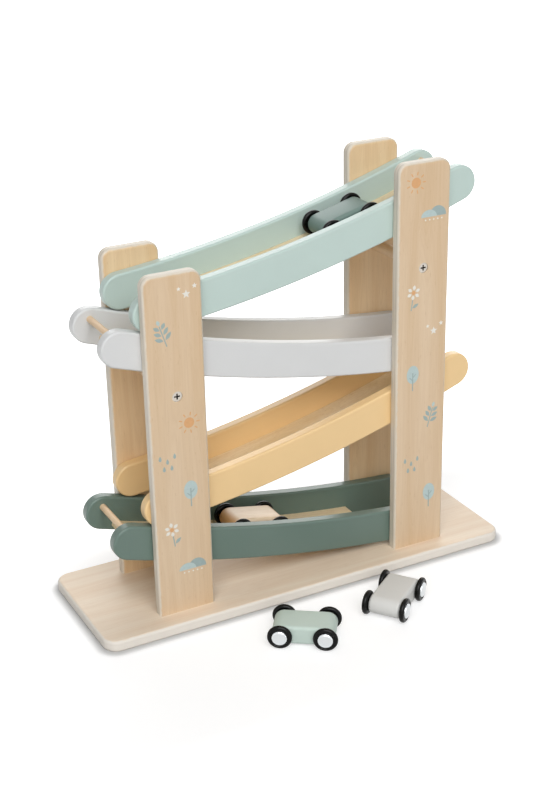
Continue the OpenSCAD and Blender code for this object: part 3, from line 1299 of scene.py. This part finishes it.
@dataclass
class PostPrints:
    """Small motifs from a garden, pad-printed on the front faces of the front posts.

    Sizes are in millimetres, and each motif is drawn flat about the origin.
    """

    layer: float = 0.05
    sink: float = 0.02
    line_w: float = 0.6
    enlarged: float = 1.25
    inks: dict[Ink, Material] = field(default_factory=dict)

    def build(self) -> None:
        """Prints the motifs on both posts."""
        # Pad-printed ink is thin and matt, and the wood under it makes it a little uneven.
        for ink in Ink:
            paint = Paint(
                f"{ink.label}_ink", ink.value, roughness=0.6, cloud_mm=1.6, cloud_depth=0.16
            )
            self.inks[ink] = paint.build()
        stock = {
            Motif.SUN: self.draw_sun(),
            Motif.SPRIG: self.draw_sprig(),
            Motif.TREE: self.draw_tree(),
            Motif.STARS: self.draw_stars(),
            Motif.DROPS: self.draw_drops(),
            Motif.HILLS: self.draw_hills(),
            Motif.FLOWER: self.draw_flower(),
        }
        for post, motifs in PRINTED.items():
            self.print_on(post, stock, motifs)
        for piece in stock.values():
            bpy.data.objects.remove(piece)

    def print_on(
        self,
        post: str,
        stock: dict[Motif, Piece],
        motifs: Iterable[tuple[Motif, float, float, float]],
    ) -> None:
        """Copies motifs on to a post's front face.

        Args:
            post: Name of the post.
            stock: Motifs to copy.
            motifs: Motif, place beside the post's middle, height above its foot and turn of each.
        """
        low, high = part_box(f"post_{post}")
        middle = (low.x + high.x) / 2
        copies = [
            copied(
                stock[motif],
                Matrix.Translation((middle + aside * MM, low.y, low.z + up * MM))
                @ Matrix.Rotation(math.radians(90), 4, "X")
                @ Matrix.Rotation(math.radians(turn), 4, "Z")
                @ Matrix.Scale(self.enlarged, 4),
            )
            for motif, aside, up, turn in motifs
        ]
        piece = joined(f"{post}_post_print", copies)
        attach(piece, "frame")
        LOG.info("%s rides on frame", piece.name)

    def shape(self, outline: Sequence[Point], ink: Ink, layers: int = 1) -> Piece:
        """Prints one flat shape.

        Args:
            outline: Points of the outline, in millimetres.
            ink: Ink of the shape.
            layers: Thickness of the shape, in layers of ink.

        Returns:
            The shape, as a thin closed solid.
        """
        piece = trace("shape", [(x, y, -self.sink) for x, y in outline])
        bpy.ops.mesh.edge_face_add()
        rise = (0, 0, (self.sink + layers * self.layer) * MM)
        bpy.ops.mesh.extrude_region_move(TRANSFORM_OT_translate={"value": rise})
        bpy.ops.mesh.select_all(action="SELECT")
        bpy.ops.mesh.normals_make_consistent(inside=False)
        bpy.ops.object.mode_set(mode="OBJECT")
        dress(piece, self.inks[ink])
        return piece

    def draw_sun(self) -> Piece:
        """Draws a sun: a disc and a ring of rays.

        Returns:
            The motif.
        """
        disc_r = 2.8
        ray_span = (4.0, 5.8)
        rays = 9
        parts = [self.shape(ellipse((0, 0), disc_r, disc_r), Ink.APRICOT)]
        for i in range(rays):
            near, far = (on_circle((0, 0), radius, math.tau * i / rays) for radius in ray_span)
            parts.append(self.shape(bar(near, far, self.line_w), Ink.APRICOT))
        return joined(Motif.SUN.value, parts)

    def draw_sprig(self) -> Piece:
        """Draws a sprig: a stem with pairs of leaves.

        Returns:
            The motif.
        """
        leaf_rise = 2.8
        leaf_half_w = 1.0
        parts = [self.shape(bar((0, -7), (0, 4.5), self.line_w), Ink.GREY_BLUE)]
        for height, reach in ((-3.5, 4.6), (-0.5, 4.0), (2.5, 3.2)):
            for side in (-1, 1):
                foot = (side * self.line_w, height)
                tip = (side * reach, height + leaf_rise)
                parts.append(self.shape(leaf(foot, tip, leaf_half_w), Ink.GREY_BLUE))
        parts.append(self.shape(leaf((0, 4.9), (0, 8), 0.9), Ink.PALE_BLUE))
        return joined(Motif.SPRIG.value, parts)

    def draw_tree(self) -> Piece:
        """Draws a tree: a round crown on a trunk with two twigs.

        Returns:
            The motif.
        """
        thinner = 0.8
        twig_w = self.line_w * thinner
        parts = [
            self.shape(ellipse((0, 2.5), 3.8, 5.2), Ink.PALE_BLUE),
            self.shape(bar((0, -7), (0, 3.5), self.line_w), Ink.GREY_BLUE, 2),
        ]
        for side, height in ((-1, -0.6), (1, 1.0)):
            twig = bar((side * 0.4, height), (side * 2.0, height + 1.6), twig_w)
            parts.append(self.shape(twig, Ink.GREY_BLUE, 2))
        return joined(Motif.TREE.value, parts)

    def draw_stars(self) -> Piece:
        """Draws three stars of different sizes.

        Returns:
            The motif.
        """
        notch = 0.45
        places = (((0, 0), 2.3), ((4.6, 3.6), 1.5), ((-3.9, 3.2), 1.2))
        parts = [self.shape(star(at, reach, notch * reach), Ink.CHALK) for at, reach in places]
        return joined(Motif.STARS.value, parts)

    def draw_drops(self) -> Piece:
        """Draws a shower of drops.

        Returns:
            The motif.
        """
        drop_r = 1.0
        places = ((-4, 1.2), (0, -1.2), (4, 1.2), (-2, -5), (2.2, -5))
        parts = [self.shape(drop(at, drop_r), Ink.GREY_BLUE) for at in places]
        return joined(Motif.DROPS.value, parts)

    def draw_hills(self) -> Piece:
        """Draws two hills, one before the other, with a path of dots.

        Returns:
            The motif.
        """
        dot_r = 0.45
        dot_sides = 12
        parts = [
            self.shape(hill((2.4, 0), 5.2, 5.4), Ink.GREY_BLUE),
            self.shape(hill((-3, 0), 4.8, 3.8), Ink.PALE_BLUE, 2),
        ]
        for x in (-5, -2.5, 0, 2.5, 5):
            dot = ellipse((x, -1.6), dot_r, dot_r, dot_sides)
            parts.append(self.shape(dot, Ink.CHALK))
        return joined(Motif.HILLS.value, parts)

    def draw_flower(self) -> Piece:
        """Draws a flower: petals round a middle, on a stem with a leaf.

        Returns:
            The motif.
        """
        middle = (0, 3)
        middle_r = 1.1
        petals = 6
        petal_span = (1.4, 4.2)
        petal_half_w = 0.95
        parts = [self.shape(ellipse(middle, middle_r, middle_r, 20), Ink.APRICOT)]
        for i in range(petals):
            angle = math.tau * i / petals + math.pi / petals
            near, far = (on_circle(middle, radius, angle) for radius in petal_span)
            parts.append(self.shape(leaf(near, far, petal_half_w), Ink.CHALK))
        parts.append(self.shape(bar((0, -7), (0, -0.8), self.line_w), Ink.GREY_BLUE))
        parts.append(self.shape(leaf((0.5, -5.5), (4, -3), 0.9), Ink.GREY_BLUE))
        return joined(Motif.FLOWER.value, parts)


@dataclass
class Car:
    """One small car: a wooden body on two axles, with black wheels and bright hub caps.

    Sizes are in millimetres.
    """

    name: str
    finish: Paint | Wood
    wheelbase: float = 29.5
    length: float = 41.5
    width: float = 22.2
    height: float = 13.2
    edge_r: float = 2.4
    wheel_r: float = 8.15
    wheel_w: float = 3.4
    wheel_gap: float = 0.3
    axle_r: float = 1.5
    bore_r: float = 1.58
    cap_r: float = 5.1
    cap_seat: float = 0.8
    cap_dome: float = 1.3

    def place(self, joints: dict[str, dict]) -> Matrix:
        """Finds where the car stands.

        Args:
            joints: Packed joints by name.

        Returns:
            Matrix from the car's own frame, X forwards and Z up at the height of its axles.
        """
        spins = [joints[f"{self.name}_{end}_spin"] for end in ("front", "rear")]
        front, rear = (Vector(spin["pos_m"]) for spin in spins)
        ahead = (front - rear).normalized()
        left = Vector((0, 0, 1)).cross(ahead).normalized()
        up = ahead.cross(left)
        low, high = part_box(f"{self.name}_body")
        middle = (front + rear) / 2
        middle += left * ((low + high) / 2 - middle).dot(left)
        turned = Matrix((ahead, left, up)).transposed().to_4x4()
        return Matrix.Translation(middle) @ turned

    def build(self, frame: dict, stock: dict[str, Piece], wire: Material) -> None:
        """Makes the car from the shared wheel and cap, and sets it on its bodies.

        Args:
            frame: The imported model.
            stock: Wheel and cap to copy, drawn with their axis along Z.
            wire: Material of the axles.
        """
        place = self.place({joint["name"]: joint for joint in frame["joints"]})
        body = self.carve_body()
        set_in_place(body, place)
        dress(body, self.finish.build(place))
        self.mount(body, self.name, f"{self.name}_body")
        for end, side in (("front", 1), ("rear", -1)):
            axle = place @ Matrix.Translation((side * self.wheelbase / 2 * MM, 0, 0))
            for kind, slot in (("wheels", "wheel_plastic"), ("caps", "cap_chrome")):
                pair = [
                    copied(stock[kind], axle @ Matrix.Rotation(math.radians(-90 * hand), 4, "X"))
                    for hand in (-1, 1)
                ]
                piece = joined(f"{self.name}_{end}_{kind}_turned", pair)
                self.mount(piece, f"{self.name}_{end}_axle_set", f"{self.name}_{end}_{kind}")
            finish_node(frame["nodes"][f"{self.name}_{end}_axle"], wire)

    def carve_body(self) -> Piece:
        """Carves the body: a round-ended block with soft edges and two axle bores.

        Returns:
            The body, in the car's own frame.
        """
        sides = 64
        bore_sides = 32
        edge_steps = 5
        edge_deg = 40
        crease_deg = 35
        upright = math.radians(90)
        body = start_piece(
            f"{self.name}_carved_body",
            bpy.ops.mesh.primitive_cylinder_add,
            vertices=sides,
            radius=self.height / 2 * MM,
            depth=self.width * MM,
            rotation=(upright, math.pi / sides, 0),
        )
        bpy.ops.object.transform_apply(location=True, rotation=True, scale=True)
        bpy.ops.object.mode_set(mode="EDIT")
        for side in (-1, 1):
            pick_verts(body, lambda co, side=side: co.x * side > 0)
            reach = side * (self.length - self.height) / 2 * MM
            bpy.ops.transform.translate(value=(reach, 0, 0))
        bpy.ops.object.mode_set(mode="OBJECT")
        apply_modifier(
            body,
            "BEVEL",
            width=self.edge_r * MM,
            segments=edge_steps,
            limit_method="ANGLE",
            angle_limit=math.radians(edge_deg),
        )
        for side in (-1, 1):
            cutter = start_piece(
                "cutter",
                bpy.ops.mesh.primitive_cylinder_add,
                vertices=bore_sides,
                radius=self.bore_r * MM,
                depth=2 * self.width * MM,
                location=(side * self.wheelbase / 2 * MM, 0, 0),
                rotation=(upright, 0, 0),
            )
            cut_with(body, cutter)
        pick_alone(body)
        bpy.ops.object.shade_smooth_by_angle(angle=math.radians(crease_deg))
        return body

    def mount(self, piece: Piece, body: str, node: str) -> None:
        """Sets a piece on its body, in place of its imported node.

        Args:
            piece: Finished piece.
            body: Body that carries it.
            node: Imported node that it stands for.
        """
        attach(piece, body)
        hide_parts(node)
        LOG.info("%s rides on %s", piece.name, body)

    def turn_wheel(self) -> Piece:
        """Turns a wheel: a round tread, a raised rim ring and a dished face.

        Returns:
            The wheel, its axis along Z and pointing outwards.
        """
        inner = self.width / 2 + self.wheel_gap
        outer = inner + self.wheel_w
        seat = outer - self.cap_seat
        play = 0.05
        bore = self.axle_r + play
        hub_r = self.cap_r + play
        hollow = 0.4
        hollow_r = 3.2
        tread_r = 1.5
        tread_points = 7
        ring_w = 0.55
        ring_slope = 0.35
        dish_depth = 0.35
        lip_w = 0.3
        lip = 0.1
        round_r = self.wheel_r - tread_r
        ring_r = round_r - ring_w
        dish = outer - dish_depth
        return turn_on_lathe(
            "wheel",
            [
                (bore, inner + hollow),
                (hollow_r, inner + hollow),
                (hollow_r + hollow, inner),
                *arc((round_r, inner + tread_r), tread_r, -90, 0, tread_points),
                *arc((round_r, outer - tread_r), tread_r, 0, 90, tread_points),
                (ring_r + ring_slope, outer),
                (ring_r, dish),
                (hub_r + lip_w, dish),
                (hub_r, dish - lip),
                (hub_r, seat),
                (bore, seat),
                (bore, inner + hollow),
            ],
        )

    def turn_cap(self) -> Piece:
        """Turns a hub cap: a low drum with a rounded rim and a crowned face.

        Returns:
            The cap, its axis along Z and pointing outwards.
        """
        seat = self.width / 2 + self.wheel_gap + self.wheel_w - self.cap_seat
        top = seat + self.cap_seat + self.cap_dome
        rim_r = 1.1
        slope_deg = 12.0
        points = 6
        chamfer = 0.2
        corner = arc((self.cap_r - rim_r, 0), rim_r, 0, 90 - slope_deg, points)
        crown_from_r, crown_from = corner[-1]
        crown_r = crown_from_r / math.sin(math.radians(slope_deg))
        lift = top - crown_r * (1 - math.cos(math.radians(slope_deg))) - crown_from
        crown = arc((0, top - crown_r), crown_r, 90 - slope_deg, 90, points)[1:-1]
        return turn_on_lathe(
            "cap",
            [
                (0, seat),
                (self.cap_r - chamfer, seat),
                (self.cap_r, seat + chamfer),
                *((radius, height + lift) for radius, height in corner),
                *crown,
                (0, top),
            ],
        )


def build_cars(frame: dict) -> None:
    """Makes the cars.

    Args:
        frame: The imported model.
    """
    beech = BlockWood(
        "wood_car_beech",
        Grain.ALONG_X,
        pale="#ecdcc6",
        deep="#e2ccb0",
        line_mm=1.4,
        line_depth=0.2,
        roughness=0.45,
    )
    cars = [
        Car("green_car", Paint("green_car_paint", "#708780", roughness=0.46)),
        Car("wood_car", beech),
        Car("mint_car", Paint("mint_car_paint", "#c8d9d0", roughness=0.46)),
        Car("white_car", Paint("white_car_paint", "#dcdcd9", roughness=0.46)),
    ]
    stock = {"wheels": cars[0].turn_wheel(), "caps": cars[0].turn_cap()}
    dress(stock["wheels"], Plastic("black_gloss_plastic", "#060706").build())
    dress(stock["caps"], Metal("bright_plate", "#dce0e2", 0.12).build())
    wire = Metal("drawn_wire", "#b9bbbd", 0.35).build()
    for car in cars:
        car.build(frame, stock, wire)
    for piece in stock.values():
        bpy.data.objects.remove(piece)


def main() -> None:
    """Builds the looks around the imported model."""
    logging.basicConfig(level=logging.INFO, format="%(name)s: %(message)s")
    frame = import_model()
    Studio().build()
    Track(frame["nodes"]).dress_all()
    PostPrints().build()
    build_cars(frame)


if __name__ == "__main__":
    main()
